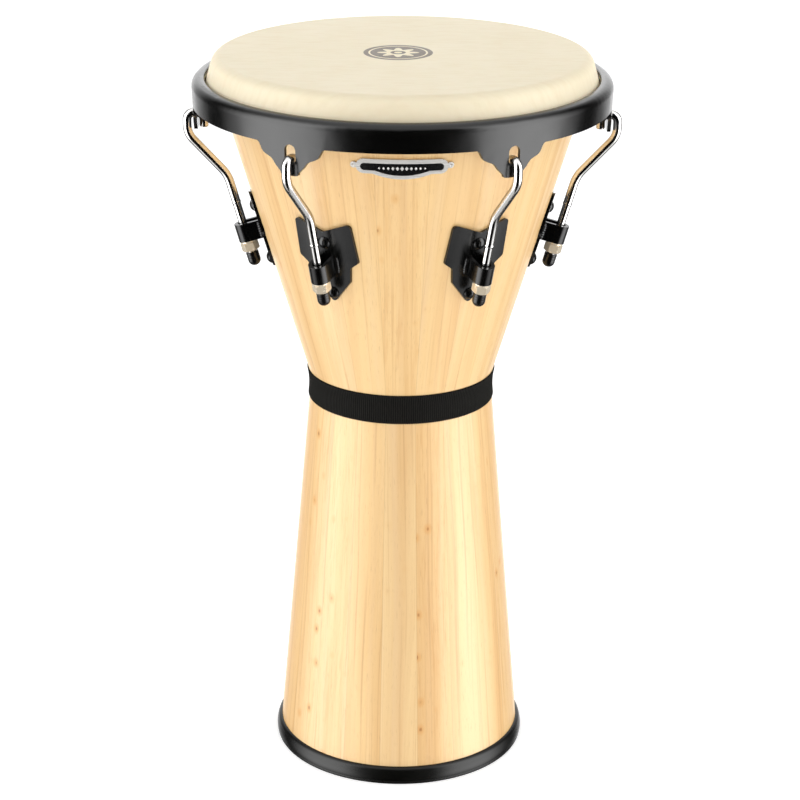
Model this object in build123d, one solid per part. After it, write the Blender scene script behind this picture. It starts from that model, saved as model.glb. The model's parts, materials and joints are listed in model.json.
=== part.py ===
from build123d import *
import os
from math import asin, atan, cos, degrees, radians, sin, sqrt, tan

os.makedirs("parts", exist_ok=True)

# A rod-tuned stave djembe. Millimetres, +Z up, origin at the centre of the foot,
# the nameplate faces -Y. Azimuths are degrees from -Y, positive towards +X.
# Sections are drawn as (radius, height) and turned about Z.

# ---- shell: two stave cones that meet in a rounded waist -------------------
STAVE_COUNT = 20
STAVE_ANGLE = 360 / STAVE_COUNT
WALL = 13.5                # radial thickness of the staves
FOOT_Z = 3.0               # the wood stands on the base ring's floor
WAIST_R = 75.64            # where the two outer lines would cross
WAIST_Z = 334.8
WAIST_BEND_R = 63.0
STEM_TAPER = 0.0875        # radius lost per mm of height below the waist
BOWL_TAPER = 0.2975        # radius gained per mm of height above it
STAVE_JOINT_Z = 330.0      # bowl and stem are glued here, under the strap
BEARING_Z = 607.8          # top of the wood
BEARING_ROUND = 8.5        # rounded outer corner that the skin bends over
BEARING_INNER_ROUND = 1.5
BOWL_TILT = degrees(atan(BOWL_TAPER))
WALL_NORMAL = WALL * cos(radians(BOWL_TILT))

# ---- base ring and waist strap ----------------------------------------------
RING_TOP_Z = 14.8
RING_BULGE_R = 108.3
RING_BULGE_Z = 5.5
RING_FOOT_R = 107.4
RING_SHOULDER_R = 107.2
RING_SHOULDER_Z = 11.2
RING_ROLL_OUT = 2.2        # middle of the rolled top edge, from where it meets the wood
RING_ROLL_DOWN = 1.0
RING_INNER_WALL = 2.5
RING_INNER_Z = 12.0
RING_GROOVE_DEPTH = 0.35
RING_GROOVE_Z = 2.4
RING_GROOVE_R = 0.45
STRAP_LOW_Z = 317.7
STRAP_HIGH_Z = 342.8
STRAP_THICK = 1.2
STRAP_LAP_ANGLE = 20.0     # the ends overlap at the back

# ---- drumhead ----------------------------------------------------------------
SKIN_THICK = 1.2
HOOP_WIRE_R = 2.6          # flesh hoop inside the skin's tuck
HOOP_R = 162.8
HOOP_Z = 583.8
TUCK_GAP = 0.25            # room between hoop and tucked skin
TUCK_TURN = 300.0          # how far the skin goes round the hoop

# ---- rim (counter hoop) ------------------------------------------------------
RIM_R = 170.5              # outer face where the rolled top begins
RIM_ROLL_Z = 584.0
RIM_ROLL_R = 7.3
RIM_THICK = 3.0
RIM_LEAN = 2.0             # the wall leans in towards its lower edge
RIM_LIP_R = 161.4
RIM_EDGE_Z = 569.4         # lower edge between the ears
EAR_LOW_Z = 546.0
EAR_SHIFT = -1.1           # the ear stands a little to one side of its slot
SLOT_WIDTH = 9.8
SLOT_LOW_Z = 554.4
SLOT_HIGH_Z = 570.5
EAR_OUTLINE = [            # one side of an ear: (across, height), from edge to tip
    (30.6, RIM_EDGE_Z),
    (27.4, 566.6),
    (24.6, 561.9),
    (20.6, 559.7),
    (16.4, 557.8),
    (12.2, 552.8),
    (8.0, 548.4),
    (0.0, EAR_LOW_Z),
]

# ---- tuning lugs ---------------------------------------------------------------
LUG_AZIMUTHS = [30, 90, 150, 210, 270, 330]
LUG_TILT = 16.0            # threaded end from vertical, leaning in downwards
LUG_BASE_R = 127.1         # rod axis at the bracket's lower face
LUG_BASE_Z = 451.3
ROD_R = 3.55               # hook end; the blank of an M8 rolled thread
ROD_STEM_R = 3.35
THREAD_R = 3.95
ROD_COLLAR_R = 3.75
ROD_COLLAR_HEIGHT = 1.0
ROD_COLLAR_EDGE = 0.2
ROD_STEM_SLOPE = 0.4
ROD_COLLAR_UP = 34.2       # distances along the rod axis from LUG_BASE
ROD_THREAD_UP = 11.0
ROD_THREAD_SLOPE = 0.6
ROD_END_DOWN = 19.5
DIAGONAL_RISE = 1.067      # height per mm of radius on the cranked stretch
DIAGONAL_R = 161.0
DIAGONAL_Z = 526.0
CRANK_LOW_BEND = 28.0
CRANK_HIGH_BEND = 18.0
HOOK_BEND = 6.0
HOOK_HALF_WIDTH = 6.9
HOOK_OFFSET = 0.45         # hook centre stands outside the ear's middle at rest
HOOK_TOP_Z = 559.0
HOOK_TIP_Z = 547.0
HOOK_EAR_Z = 552.0
WASHER_R = 6.9
WASHER_BORE_R = 4.25
WASHER_THICK = 1.5
NUT_TOP_DOWN = 1.7
NUT_HEIGHT = 7.2
NUT_ACROSS = 13.0
NUT_BORE_R = 4.0
NUT_SLOPE_R = 1.2          # chamfer of a nut's corners
NUT_SLOPE_HEIGHT = 0.6
CAP_TOP_DOWN = 10.3
CAP_END_DOWN = 22.6
CAP_R = 5.3
CAP_END_ROUND = 5.0
CAP_MOUTH_ROUND = 0.6

# ---- side plates, brackets and their bolts --------------------------------------
PLATE_THICK = 2.5
PLATE_RISE = PLATE_THICK / cos(radians(BOWL_TILT))
PLATE_CORNER_R = 3.0
PLATE_OUTLINE = [          # right half: (across, height)
    (0.0, 490.4),
    (25.0, 500.0),
    (26.8, 465.9),
    (19.4, 460.4),
    (17.2, 447.6),
    (0.0, 427.4),
]
BRACKET_HEIGHT = 15.5
BRACKET_OUTER_R = 7.6
BRACKET_INNER_R = 4.4
BRACKET_REACH = 22.0       # the legs run past the plate and are cut back to it
WELD_R = 2.0
WELD_OUT = 13.9            # weld line behind the rod axis
WELD_ACROSS = 7.9
PLATE_SECTOR = 40.0        # degrees of the bowl that a plate is cut from
BOLT_HEIGHTS = [481.7, 437.1]
BOLT_R = 3.0
BOLT_HOLE_R = 3.1
BOLT_HEAD_R = 5.3
BOLT_HEAD_H = 3.7
BOLT_HEAD_EDGE = 0.6
BACK_GAP = 0.3             # flat washer on the hollow inner wall
BACK_WASHER_R = 7.0
BACK_WASHER_THICK = 1.2
BACK_NUT_ACROSS = 10.0
BACK_NUT_HEIGHT = 5.0
BOLT_SPARE = 2.0

# ---- nameplate --------------------------------------------------------------------
NAME_FRAME_RISE = 1.7
NAME_FLOOR_RISE = 0.5
NAME_INSET_RISE = 1.1
NAME_FRAME = {"half": 35.4, "top": 558.2, "end_low": 545.8, "shoulder": 22.5, "low": 541.5}
NAME_INSET = {"half": 32.0, "top": 554.6, "end_low": 548.5, "shoulder": 21.0, "low": 544.5}
NAME_SECTOR = 44.0         # degrees of the bowl that the nameplate is cut from
NAME_EAR_R = 2.6
NAME_EAR_ACROSS = 37.0
NAIL_ACROSS = 37.6
NAIL_Z = 552.6
NAIL_HEAD_R = 1.3
NAIL_HEAD_H = 0.8
NAIL_HEAD_GAP = 0.2        # between the head's underside and the frame
NAIL_POINT = 1.0
NAIL_SHANK_R = 0.6
NAIL_HOLE_R = 0.65
NAIL_LENGTH = 9.0

# ---- sizes of cutting shapes ---------------------------------------------------------
CUT_SPARE = 8.0            # how far a cutter runs past what it cuts
CUT_NEAR = 90.0            # prisms start and end at these distances from the axis
CUT_FAR = 190.0
EAR_CUT_NEAR = 155.0


def stem_radius(z):
    return WAIST_R + (WAIST_Z - z) * STEM_TAPER


def bowl_radius(z):
    return WAIST_R + (z - WAIST_Z) * BOWL_TAPER


def turn(azimuth, shape):
    """Swing a shape drawn towards +X round to an azimuth."""
    return Rot(0, 0, azimuth - 90) * shape


def turned(section, angle=360.0):
    """Solid of revolution of a (radius, height) section, centred on +X if partial."""
    return Rot(0, 0, -angle / 2) * revolve(Plane.XZ * section, Axis.Z, angle)


def window(low_r, high_r, low_z, high_z):
    """Rectangle in a (radius, height) section."""
    centre = Pos((low_r + high_r) / 2, (low_z + high_z) / 2)
    return centre * Rectangle(high_r - low_r, high_z - low_z)


def wall_section(inner, outer, low_z, high_z):
    """Section of a layer that follows the shell's outer face, between two radial offsets."""
    span_low = -2 * CUT_SPARE
    span_high = BEARING_Z + 2 * CUT_SPARE

    def line(offset):
        corners = [
            (stem_radius(span_low) + offset, span_low),
            (WAIST_R + offset, WAIST_Z),
            (bowl_radius(span_high) + offset, span_high),
        ]
        return FilletPolyline(*corners, radius=WAIST_BEND_R)

    near, far = line(inner), line(outer)
    ends = Line(near @ 0, far @ 0) + Line(near @ 1, far @ 1)
    band = make_face((near + far + ends).edges())
    return band & window(0, CUT_FAR, low_z, high_z)


def on_bowl(height, across=0.0):
    """Plane on the bowl's outer face towards +X, its Z axis the outward normal."""
    swing = degrees(across / bowl_radius(height))
    tilt = radians(BOWL_TILT)
    seat = Plane(
        origin=(bowl_radius(height), 0, height),
        x_dir=(0, 1, 0),
        z_dir=(cos(tilt), 0, -sin(tilt)),
    )
    return Rot(0, 0, swing) * seat.location


def on_rod():
    """Location at the bracket's lower face, its Z axis up the threaded rod."""
    tilt = radians(LUG_TILT)
    seat = Plane(
        origin=(LUG_BASE_R, 0, LUG_BASE_Z),
        x_dir=(cos(tilt), 0, -sin(tilt)),
        z_dir=(sin(tilt), 0, cos(tilt)),
    )
    return seat.location


def prism(outline, near=CUT_NEAR):
    """Outline drawn as (across, height) and pushed out along +X."""
    face = Plane(origin=(near, 0, 0), x_dir=(0, 1, 0), z_dir=(1, 0, 0)) * outline
    return extrude(face, CUT_FAR - near)


def tube(outer_r, inner_r, low, high):
    """Ring about the local Z axis."""
    disc = Circle(outer_r) - Circle(inner_r)
    return Pos(0, 0, low) * extrude(disc, high - low)


def dome(base_r, base_z, height):
    """Arc of a round cap, from its edge up to the axis."""
    radius = (base_r ** 2 + height ** 2) / (2 * height)
    start = degrees(asin((radius - height) / radius))
    return CenterArc((0, base_z + height - radius), radius, start, 90 - start)


def group(solids):
    return Compound([part for shape in solids for part in shape.solids()])


# ---- shell -----------------------------------------------------------------------
def stave_solids(low_z, high_z, cutters):
    section = wall_section(-WALL, 0, low_z, high_z)
    if high_z == BEARING_Z:
        top = section.vertices().sort_by(Axis.Y)[-2:].sort_by(Axis.X)
        section = fillet(top[1], BEARING_ROUND)
        top = section.vertices().sort_by(Axis.Y)[-2:].sort_by(Axis.X)
        section = fillet(top[0], BEARING_INNER_ROUND)
    stave = turned(section, STAVE_ANGLE)
    staves = []
    for index in range(STAVE_COUNT):
        piece = Rot(0, 0, index * STAVE_ANGLE) * stave
        for cutter in cutters:
            if piece.bounding_box().overlaps(cutter.bounding_box()):
                piece = piece - cutter
        staves.append(piece)
    return staves


def bolt_seats():
    return [(azimuth, height) for azimuth in LUG_AZIMUTHS for height in BOLT_HEIGHTS]


def bowl_cutters():
    bolt_hole = Cylinder(BOLT_HOLE_R, 4 * WALL)
    nail_hole = Cylinder(NAIL_HOLE_R, 2 * NAIL_LENGTH)
    holes = [turn(azimuth, on_bowl(height) * bolt_hole) for azimuth, height in bolt_seats()]
    holes += [turn(0, on_bowl(NAIL_Z, side * NAIL_ACROSS) * nail_hole) for side in (-1, 1)]
    return holes


def base_ring():
    """Rubber ring: a floor under the wood, a low wall inside and a bulging wall outside."""
    inner_r = stem_radius(FOOT_Z) - WALL
    seat_r = stem_radius(RING_TOP_Z)
    outline = Polyline(
        (RING_FOOT_R, 0),
        (inner_r - RING_INNER_WALL, 0),
        (inner_r - RING_INNER_WALL, RING_INNER_Z),
        (stem_radius(RING_INNER_Z) - WALL, RING_INNER_Z),
        (inner_r, FOOT_Z),
        (stem_radius(FOOT_Z), FOOT_Z),
        (seat_r, RING_TOP_Z),
    )
    shoulder = (RING_SHOULDER_R, RING_SHOULDER_Z)
    roll_middle = (seat_r + RING_ROLL_OUT, RING_TOP_Z - RING_ROLL_DOWN)
    roll = ThreePointArc((seat_r, RING_TOP_Z), roll_middle, shoulder)
    bulge = ThreePointArc(shoulder, (RING_BULGE_R, RING_BULGE_Z), (RING_FOOT_R, 0))
    section = make_face((outline + roll + bulge).edges())
    section -= Pos(RING_BULGE_R - RING_GROOVE_DEPTH, RING_GROOVE_Z) * Circle(RING_GROOVE_R)
    return turned(section)


def waist_strap():
    band = turned(wall_section(0, STRAP_THICK, STRAP_LOW_Z, STRAP_HIGH_Z))
    lap_section = wall_section(STRAP_THICK, 2 * STRAP_THICK, STRAP_LOW_Z, STRAP_HIGH_Z)
    return band + turn(180, turned(lap_section, STRAP_LAP_ANGLE))


# ---- drumhead --------------------------------------------------------------------
def drumhead_skin():
    """Flat head, a bend over the bearing edge, and a tuck round the flesh hoop."""
    corner = (90 - BOWL_TILT) / 2
    crown_r = bowl_radius(BEARING_Z) - BEARING_ROUND / tan(radians(corner))
    crown = Vector(crown_r, BEARING_Z - BEARING_ROUND)
    hoop = Vector(HOOP_R, HOOP_Z)
    inside = HOOP_WIRE_R + TUCK_GAP
    outside = inside + SKIN_THICK
    middle = SKIN_THICK / 2
    reach = hoop - crown
    lean = degrees(atan(reach.Y / reach.X))
    spread = (BEARING_ROUND + middle) + (inside + middle)
    angle = lean + 90 - degrees(atan(spread / sqrt(reach.length ** 2 - spread ** 2)))
    normal = Vector(cos(radians(angle)), sin(radians(angle)))
    tuck = angle + 180
    top_z = BEARING_Z + SKIN_THICK

    above = Line((0, top_z), (crown_r, top_z))
    above += CenterArc(crown, BEARING_ROUND + SKIN_THICK, 90, angle - 90)
    above += Line(crown + normal * (BEARING_ROUND + SKIN_THICK), hoop - normal * inside)
    above += CenterArc(hoop, inside, tuck, TUCK_TURN)
    below = Line((0, BEARING_Z), (crown_r, BEARING_Z))
    below += CenterArc(crown, BEARING_ROUND, 90, angle - 90)
    below += Line(crown + normal * BEARING_ROUND, hoop - normal * outside)
    below += CenterArc(hoop, outside, tuck, TUCK_TURN)
    edge_angle = radians(tuck + TUCK_TURN)
    edge = Vector(cos(edge_angle), sin(edge_angle))
    ends = Line((0, BEARING_Z), (0, top_z)) + Line(hoop + edge * inside, hoop + edge * outside)
    return turned(make_face((above + below + ends).edges()))


def flesh_hoop():
    return turned(Pos(HOOP_R, HOOP_Z) * Circle(HOOP_WIRE_R))


# ---- rim -------------------------------------------------------------------------
def rim_face_radius(z):
    return RIM_R - (RIM_ROLL_Z - z) * tan(radians(RIM_LEAN))


def rim_section(low_z):
    centre = (RIM_R - RIM_ROLL_R, RIM_ROLL_Z)
    top_z = RIM_ROLL_Z + RIM_ROLL_R
    under_z = top_z - RIM_THICK
    low_r = rim_face_radius(low_z)
    outline = Line((low_r, low_z), (RIM_R, RIM_ROLL_Z))
    outline += CenterArc(centre, RIM_ROLL_R, 0, 90)
    outline += Line((centre[0], top_z), (RIM_LIP_R, top_z))
    outline += CenterArc((RIM_LIP_R, top_z - RIM_THICK / 2), RIM_THICK / 2, 90, 180)
    outline += Line((RIM_LIP_R, under_z), (centre[0], under_z))
    outline += CenterArc(centre, RIM_ROLL_R - RIM_THICK, 0, 90)
    outline += Line((RIM_R - RIM_THICK, RIM_ROLL_Z), (low_r - RIM_THICK, low_z))
    outline += Line((low_r - RIM_THICK, low_z), (low_r, low_z))
    return make_face(outline.edges())


def ear_outline():
    right = Spline(*EAR_OUTLINE, tangents=[(-1, -0.2), (-1, 0)])
    left = right.mirror(Plane.YZ)
    top_z = RIM_EDGE_Z + 1
    top = Polyline(right @ 0, (EAR_OUTLINE[0][0], top_z), (-EAR_OUTLINE[0][0], top_z), left @ 0)
    return make_face(right.edges() + left.edges() + top.edges())


def rim():
    """Steel hoop with a rolled top and six scalloped, slotted ears."""
    slot_middle = Pos(0, (SLOT_HIGH_Z + SLOT_LOW_Z) / 2)
    slot_shape = SlotOverall(SLOT_HIGH_Z - SLOT_LOW_Z, SLOT_WIDTH, rotation=90)
    slot = prism(slot_middle * slot_shape, EAR_CUT_NEAR)
    ear = prism(Pos(EAR_SHIFT, 0) * ear_outline(), EAR_CUT_NEAR)
    waste = tube(RIM_R + CUT_SPARE, EAR_CUT_NEAR, EAR_LOW_Z - CUT_SPARE, RIM_EDGE_Z)
    for azimuth in LUG_AZIMUTHS:
        waste -= turn(azimuth, ear)
    hoop = turned(rim_section(EAR_LOW_Z)) - waste
    for azimuth in LUG_AZIMUTHS:
        hoop -= turn(azimuth, slot)
    return hoop


# ---- tuning lugs -----------------------------------------------------------------
def lug_route():
    """Corners of the rod's centre line above its collar, as (radius, height)."""
    tilt = radians(LUG_TILT)
    start_r = LUG_BASE_R + ROD_COLLAR_UP * sin(tilt)
    start_z = LUG_BASE_Z + ROD_COLLAR_UP * cos(tilt)
    away = DIAGONAL_R - start_r - (DIAGONAL_Z - start_z) * tan(tilt)
    low_r = DIAGONAL_R - away / (1 - DIAGONAL_RISE * tan(tilt))
    low_z = DIAGONAL_Z + DIAGONAL_RISE * (low_r - DIAGONAL_R)
    hook_r = rim_face_radius(HOOK_EAR_Z) - RIM_THICK / 2 + HOOK_OFFSET
    outer_r = hook_r + HOOK_HALF_WIDTH
    inner_r = hook_r - HOOK_HALF_WIDTH
    high_z = DIAGONAL_Z + DIAGONAL_RISE * (outer_r - DIAGONAL_R)
    return [
        (start_r, start_z),
        (low_r, low_z),
        (outer_r, high_z),
        (outer_r, HOOK_TOP_Z),
        (inner_r, HOOK_TOP_Z),
        (inner_r, HOOK_TIP_Z),
    ]


def lug_rod():
    """Rod with a threaded lower end, cranked outwards and hooked over the rim's ear."""
    bends = [CRANK_LOW_BEND, CRANK_HIGH_BEND, HOOK_BEND, HOOK_BEND]
    path = Plane.XZ * FilletPolyline(*lug_route(), radius=bends)
    bent = sweep(Plane(origin=path @ 0, z_dir=path % 0) * Circle(ROD_R), path=path)
    collar_low = ROD_COLLAR_UP - ROD_COLLAR_HEIGHT
    straight = Polyline(
        (0, ROD_COLLAR_UP),
        (ROD_R, ROD_COLLAR_UP),
        (ROD_COLLAR_R, ROD_COLLAR_UP - ROD_COLLAR_EDGE),
        (ROD_COLLAR_R, collar_low),
        (ROD_STEM_R, collar_low - ROD_STEM_SLOPE),
        (ROD_STEM_R, ROD_THREAD_UP + ROD_THREAD_SLOPE),
        (THREAD_R, ROD_THREAD_UP),
        (THREAD_R, -ROD_END_DOWN),
        (0, -ROD_END_DOWN),
        close=True,
    )
    return bent + on_rod() * turned(make_face(straight.edges()))


def hex_nut(across, height, bore_r):
    """Chamfered nut standing on the local origin."""
    corner_r = across / sqrt(3)
    blank = Polyline(
        (bore_r, 0),
        (corner_r - NUT_SLOPE_R, 0),
        (corner_r, NUT_SLOPE_HEIGHT),
        (corner_r, height - NUT_SLOPE_HEIGHT),
        (corner_r - NUT_SLOPE_R, height),
        (bore_r, height),
        close=True,
    )
    prism_body = extrude(RegularPolygon(across / 2, 6, major_radius=False), height)
    return turned(make_face(blank.edges())) & prism_body


def lug_nut():
    top = -NUT_TOP_DOWN
    return on_rod() * Pos(0, 0, top - NUT_HEIGHT) * hex_nut(NUT_ACROSS, NUT_HEIGHT, NUT_BORE_R)


def lug_washer():
    return on_rod() * tube(WASHER_R, WASHER_BORE_R, -WASHER_THICK, 0)


def lug_cap():
    """Soft blind cap pushed over the end of the thread."""
    outline = Polyline(
        (0, -CAP_END_DOWN),
        (CAP_R, -CAP_END_DOWN),
        (CAP_R, -CAP_TOP_DOWN),
        (THREAD_R, -CAP_TOP_DOWN),
        (THREAD_R, -ROD_END_DOWN),
        (0, -ROD_END_DOWN),
        close=True,
    )
    section = make_face(outline.edges())
    low = section.vertices().sort_by(Axis.Y)[:2].sort_by(Axis.X)[-1]
    section = fillet(low, CAP_END_ROUND)
    high = section.vertices().sort_by(Axis.Y)[-2:].sort_by(Axis.X)[-1]
    return on_rod() * turned(fillet(high, CAP_MOUTH_ROUND))


# ---- side plates, brackets and their bolts ---------------------------------------
def side_plate():
    """Winged steel plate bent to the bowl, with a V-shaped tail."""
    right = PLATE_OUTLINE
    left = [(-across, height) for across, height in reversed(right[1:-1])]
    outline = make_face(Polyline(*right, *left, close=True).edges())
    outline = fillet(outline.vertices(), PLATE_CORNER_R)
    heights = [height for across, height in PLATE_OUTLINE]
    low_z, high_z = min(heights) - CUT_SPARE, max(heights) + CUT_SPARE
    plate = turned(wall_section(0, PLATE_RISE, low_z, high_z), PLATE_SECTOR) & prism(outline)
    for height in BOLT_HEIGHTS:
        plate -= on_bowl(height) * Cylinder(BOLT_HOLE_R, 4 * PLATE_THICK)
    return plate


def lug_bracket():
    """U-shaped strap round the rod, its legs welded to the side plate."""

    def loop(radius, reach):
        return Circle(radius) + Pos(-reach / 2, 0) * Rectangle(reach, 2 * radius)

    strap = loop(BRACKET_OUTER_R, BRACKET_REACH) - loop(BRACKET_INNER_R, BRACKET_REACH + 1)
    body = extrude(strap, BRACKET_HEIGHT)
    bead = Cylinder(WELD_R, BRACKET_HEIGHT - WELD_R)
    for side in (-1, 1):
        body += Pos(-WELD_OUT, side * WELD_ACROSS, BRACKET_HEIGHT / 2) * bead
    low_z, high_z = LUG_BASE_Z - BRACKET_REACH, LUG_BASE_Z + 2 * BRACKET_REACH
    behind_plate = wall_section(-2 * BRACKET_REACH, PLATE_RISE, low_z, high_z)
    return on_rod() * body - turned(behind_plate, PLATE_SECTOR)


def bolt():
    """Round-headed bolt, its local Z axis the outward normal of the bowl."""
    back = BACK_GAP + BACK_WASHER_THICK + BACK_NUT_HEIGHT + BOLT_SPARE
    low = -WALL_NORMAL - back
    edge_z = PLATE_THICK + BOLT_HEAD_EDGE
    shank = Polyline(
        (0, low),
        (BOLT_R, low),
        (BOLT_R, PLATE_THICK),
        (BOLT_HEAD_R, PLATE_THICK),
        (BOLT_HEAD_R, edge_z),
    )
    head = dome(BOLT_HEAD_R, edge_z, BOLT_HEAD_H - BOLT_HEAD_EDGE)
    return turned(make_face((shank + head + Line(head @ 1, shank @ 0)).edges()))


def back_washer():
    high = -WALL_NORMAL - BACK_GAP
    return tube(BACK_WASHER_R, BOLT_HOLE_R, high - BACK_WASHER_THICK, high)


def back_nut():
    high = -WALL_NORMAL - BACK_GAP - BACK_WASHER_THICK
    return Pos(0, 0, high - BACK_NUT_HEIGHT) * hex_nut(BACK_NUT_ACROSS, BACK_NUT_HEIGHT, BOLT_R)


def at_bolts(piece):
    return group([turn(azimuth, on_bowl(height) * piece) for azimuth, height in bolt_seats()])


# ---- nameplate -------------------------------------------------------------------
def name_outline(half, top, end_low, shoulder, low):
    """Straight top, round ends and a lower edge that swells at the middle."""
    end_r = (top - end_low) / 2
    end_z = (top + end_low) / 2
    outline = Line((half - end_r, top), (end_r - half, top))
    outline += CenterArc((end_r - half, end_z), end_r, 90, 180)
    outline += Line((end_r - half, end_low), (-shoulder, end_low))
    outline += ThreePointArc((-shoulder, end_low), (0, low), (shoulder, end_low))
    outline += Line((shoulder, end_low), (half - end_r, end_low))
    outline += CenterArc((half - end_r, end_z), end_r, -90, 180)
    return make_face(outline.edges())


def name_layer(low_rise, high_rise):
    low_z, high_z = NAME_FRAME["low"] - CUT_SPARE, NAME_FRAME["top"] + CUT_SPARE
    return turned(wall_section(low_rise, high_rise, low_z, high_z), NAME_SECTOR)


def nameplate_frame():
    outline = name_outline(**NAME_FRAME)
    for side in (-1, 1):
        outline += Pos(side * NAME_EAR_ACROSS, NAIL_Z) * Circle(NAME_EAR_R)
    frame = name_layer(0, NAME_FRAME_RISE) & prism(outline)
    recess = name_layer(NAME_FLOOR_RISE, NAME_FRAME_RISE + 1) & prism(name_outline(**NAME_INSET))
    nail_hole = Cylinder(NAIL_HOLE_R, 2 * NAIL_LENGTH)
    for side in (-1, 1):
        frame -= on_bowl(NAIL_Z, side * NAIL_ACROSS) * nail_hole
    return frame - recess


def nameplate_inset():
    return name_layer(NAME_FLOOR_RISE, NAME_INSET_RISE) & prism(name_outline(**NAME_INSET))


def nameplate_nails():
    head_z = NAME_FRAME_RISE + NAIL_HEAD_GAP
    shank = Polyline(
        (0, head_z - NAIL_LENGTH),
        (NAIL_SHANK_R, head_z - NAIL_LENGTH + NAIL_POINT),
        (NAIL_SHANK_R, head_z),
        (NAIL_HEAD_R, head_z),
    )
    head = dome(NAIL_HEAD_R, head_z, NAIL_HEAD_H)
    nail = turned(make_face((shank + head + Line(head @ 1, shank @ 0)).edges()))
    return group([on_bowl(NAIL_Z, side * NAIL_ACROSS) * nail for side in (-1, 1)])


# ---- write one file per node ------------------------------------------------------
def write(node, shape):
    export_step(shape, f"parts/{node}.step")


write("bowl_staves", group(stave_solids(STAVE_JOINT_Z, BEARING_Z, bowl_cutters())))
write("stem_staves", group(stave_solids(FOOT_Z, STAVE_JOINT_Z, [])))
write("base_ring", base_ring())
write("waist_strap", waist_strap())
write("drumhead_skin", drumhead_skin())
write("flesh_hoop", flesh_hoop())
write("rim", rim())
write("side_plate_bolts", at_bolts(bolt()))
write("bolt_washers", at_bolts(back_washer()))
write("bolt_nuts", at_bolts(back_nut()))
write("nameplate_frame", turn(0, nameplate_frame()))
write("nameplate_inset", turn(0, nameplate_inset()))
write("nameplate_nails", turn(0, nameplate_nails()))

LUG_PIECES = {
    "lug_rod": lug_rod(),
    "lug_nut": lug_nut(),
    "lug_washer": lug_washer(),
    "lug_cap": lug_cap(),
    "lug_bracket": lug_bracket(),
    "side_plate": side_plate(),
}
for number, azimuth in enumerate(LUG_AZIMUTHS, 1):
    for name, piece in LUG_PIECES.items():
        write(f"{name}_{number}", turn(azimuth, piece))
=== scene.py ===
"""Looks of a rod-tuned stave djembe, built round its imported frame. Metres, +Z up, the nameplate faces -Y."""
import json
import math

import bmesh
import bpy
from mathutils import Matrix, Vector, noise


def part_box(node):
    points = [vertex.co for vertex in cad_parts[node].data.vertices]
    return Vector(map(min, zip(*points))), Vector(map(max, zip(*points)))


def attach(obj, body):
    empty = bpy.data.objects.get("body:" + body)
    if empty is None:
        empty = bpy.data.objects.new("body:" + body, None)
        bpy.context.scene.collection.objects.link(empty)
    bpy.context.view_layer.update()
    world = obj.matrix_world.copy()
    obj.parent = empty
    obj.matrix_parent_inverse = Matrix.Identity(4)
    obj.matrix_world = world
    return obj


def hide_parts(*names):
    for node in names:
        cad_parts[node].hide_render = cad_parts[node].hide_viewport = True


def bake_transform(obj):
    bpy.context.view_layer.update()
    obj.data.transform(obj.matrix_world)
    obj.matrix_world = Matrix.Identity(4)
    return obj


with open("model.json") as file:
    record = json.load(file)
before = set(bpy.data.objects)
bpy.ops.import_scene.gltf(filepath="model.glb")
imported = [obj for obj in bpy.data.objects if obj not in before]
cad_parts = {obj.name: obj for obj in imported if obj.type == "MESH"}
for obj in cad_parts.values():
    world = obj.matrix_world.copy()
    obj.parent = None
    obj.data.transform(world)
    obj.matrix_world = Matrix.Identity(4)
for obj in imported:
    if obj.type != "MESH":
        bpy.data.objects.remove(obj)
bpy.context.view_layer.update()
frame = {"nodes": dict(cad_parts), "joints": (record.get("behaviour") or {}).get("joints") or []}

TURN = 2 * math.pi
MM = 0.001
POINT_MERGE = 1e-7           # points closer than this are one

# ---- shell ---------------------------------------------------------------------
STAVE_COUNT = 20
WAIST_R = 75.64 * MM         # where the shell's two outer lines cross
WAIST_Z = 334.8 * MM
WAIST_BEND_R = 63.0 * MM
STEM_TAPER = 0.0875
BOWL_TAPER = 0.2975
BEARING_ROUND = 8.5 * MM
WALL = 13.5 * MM

# ---- base ring -------------------------------------------------------------------
FOOT_Z = 3.0 * MM
RING_TOP_Z = 14.8 * MM
RING_BULGE_Z = 5.5 * MM
RING_FOOT_R = 107.4 * MM
RING_SHOULDER = (107.2 * MM, 11.2 * MM)
RING_ROLL_OUT = 2.2 * MM
RING_ROLL_DOWN = 1.0 * MM
RING_INNER_WALL = 2.5 * MM
RING_INNER_Z = 12.0 * MM
RING_GROOVE_Z = 2.3 * MM
RING_GROOVE_HALF = 0.7 * MM
RING_GROOVE_DEPTH = 0.6 * MM
RING_ROLL_STEPS = 12
RING_BULGE_STEPS = 60

# ---- strap ---------------------------------------------------------------------
STRAP_THICK = 1.2 * MM
STRAP_GAP = 0.02 * MM        # between the wood and the strap
STRAP_EDGE = 0.5 * MM        # height over which the strap's edges are rounded
STRAP_EDGE_DEPTH = 0.45 * MM
STRAP_SCALLOP = 0.15 * MM
STRAP_STEPS = 26
STRAP_LAP = math.radians(20)
RIB_COUNT = 270
RIB_COLUMNS = 6
RIB_DEPTH = 0.32 * MM
YARN_PITCH = 0.8 * MM
STITCH_COUNT = 9
STITCH_ROWS = (-1, -0.8, 0.8, 1)
STITCH_ROW_SWING = STRAP_LAP * 0.4
STITCH_HALF_WIDTH = 0.3 * MM
STITCH_HALF_HEIGHT = 1.0 * MM

# ---- drumhead --------------------------------------------------------------------
HOOP_WIRE_R = 2.6 * MM
TUCK_GAP = 0.25 * MM
TUCK_TURN = math.radians(300)
FLAT_STEPS = 24
BEARING_STEPS = 20
TUCK_STEPS = 40
PRINT_R = 28.0 * MM
PRINT_X = -3.7 * MM          # the print is not quite central
PRINT_BLUR = 0.15 * MM
PRINT_RING_INNER_R = 22.5 * MM
PRINT_RING_OUTER_R = 24.1 * MM
PETAL_COUNT = 8
PETAL_R = 13.5 * MM
PETAL_SWING = 3.5 * MM
PETAL_EYE_R = 6.2 * MM
PRINT_DOT_R = 3.2 * MM

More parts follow.
